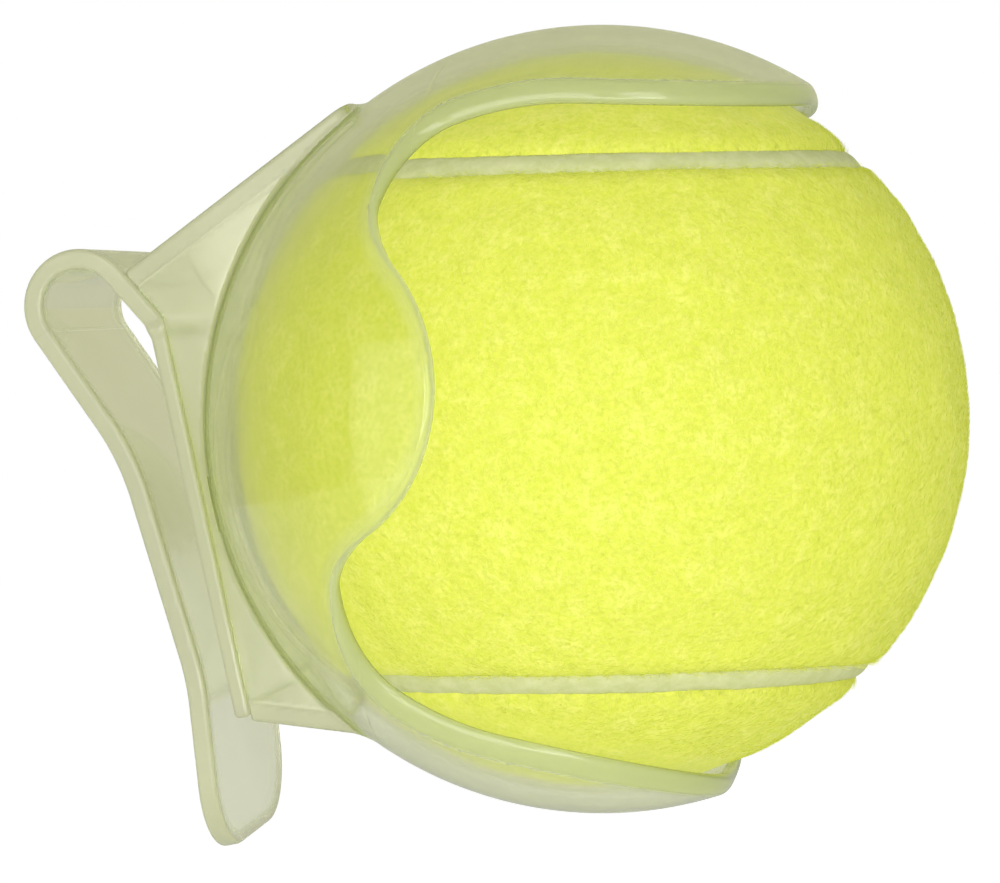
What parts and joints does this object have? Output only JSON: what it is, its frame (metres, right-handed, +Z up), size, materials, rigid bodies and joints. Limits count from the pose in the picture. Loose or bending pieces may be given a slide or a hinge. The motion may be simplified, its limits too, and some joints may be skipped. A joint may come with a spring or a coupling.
{
  "type": "tennis ball belt clip",
  "caption": "Clear plastic belt clip whose sprung cup grips a felt tennis ball between snap arms and side petals, with a hooked tongue that slides over a belt.",
  "frame": {"origin": "on the belt plate's rear face, at the height of the ball's middle and in the plane of symmetry", "axes": "+X away from the wearer, from the belt plate towards the ball; +Z up, from the tongue's tip towards the hoop; +Y to the wearer's left"},
  "size_m": [0.0809, 0.0688, 0.0708],
  "materials": {
    "clear_plastic": "glossy, clear with a milky olive tint",
    "felt": "napped yellow felt",
    "seam_rubber": "matt pale cement",
    "core_rubber": "matt black rubber",
    "core_cement": "dried rubber cement"
  },
  "bodies": {
    "holder": {"cup_bowl": "clear_plastic", "bracket_roof": "clear_plastic", "bracket_floor": "clear_plastic", "bracket_cheek_left": "clear_plastic", "bracket_cheek_right": "clear_plastic", "back_plate": "clear_plastic", "clip_hoop": "clear_plastic"},
    "upper_arm": {"upper_arm": "clear_plastic"},
    "lower_arm": {"lower_arm": "clear_plastic"},
    "tongue": {"clip_tongue": "clear_plastic"},
    "ball": {"ball_core_left": "core_rubber", "ball_core_right": "core_rubber", "ball_core_joint": "core_cement", "felt_panel_front": "felt", "felt_panel_rear": "felt", "seam_cement": "seam_rubber"}
  },
  "joints": [
    {"name": "ball_pull", "type": "slide", "parent": "holder", "child": "ball", "axis": [0.9511, 0, -0.309], "range_m": [0, 0.075], "deforming": ["upper_arm", "lower_arm"]},
    {"name": "upper_arm_flex", "type": "hinge", "parent": "holder", "child": "upper_arm", "pos_m": [0.03634, 0, 0.0354], "axis": [0, -1, 0], "range_deg": [0, 9], "stiffness_Nm_per_rad": 0.6},
    {"name": "lower_arm_flex", "type": "hinge", "parent": "holder", "child": "lower_arm", "pos_m": [0.01554, 0, -0.0286], "axis": [0, 1, 0], "range_deg": [0, 9], "stiffness_Nm_per_rad": 0.6},
    {"name": "tongue_flex", "type": "hinge", "parent": "holder", "child": "tongue", "pos_m": [-0.00931, 0, 0.01672], "axis": [0, 1, 0], "range_deg": [0, 12], "stiffness_Nm_per_rad": 0.6}
  ]
}
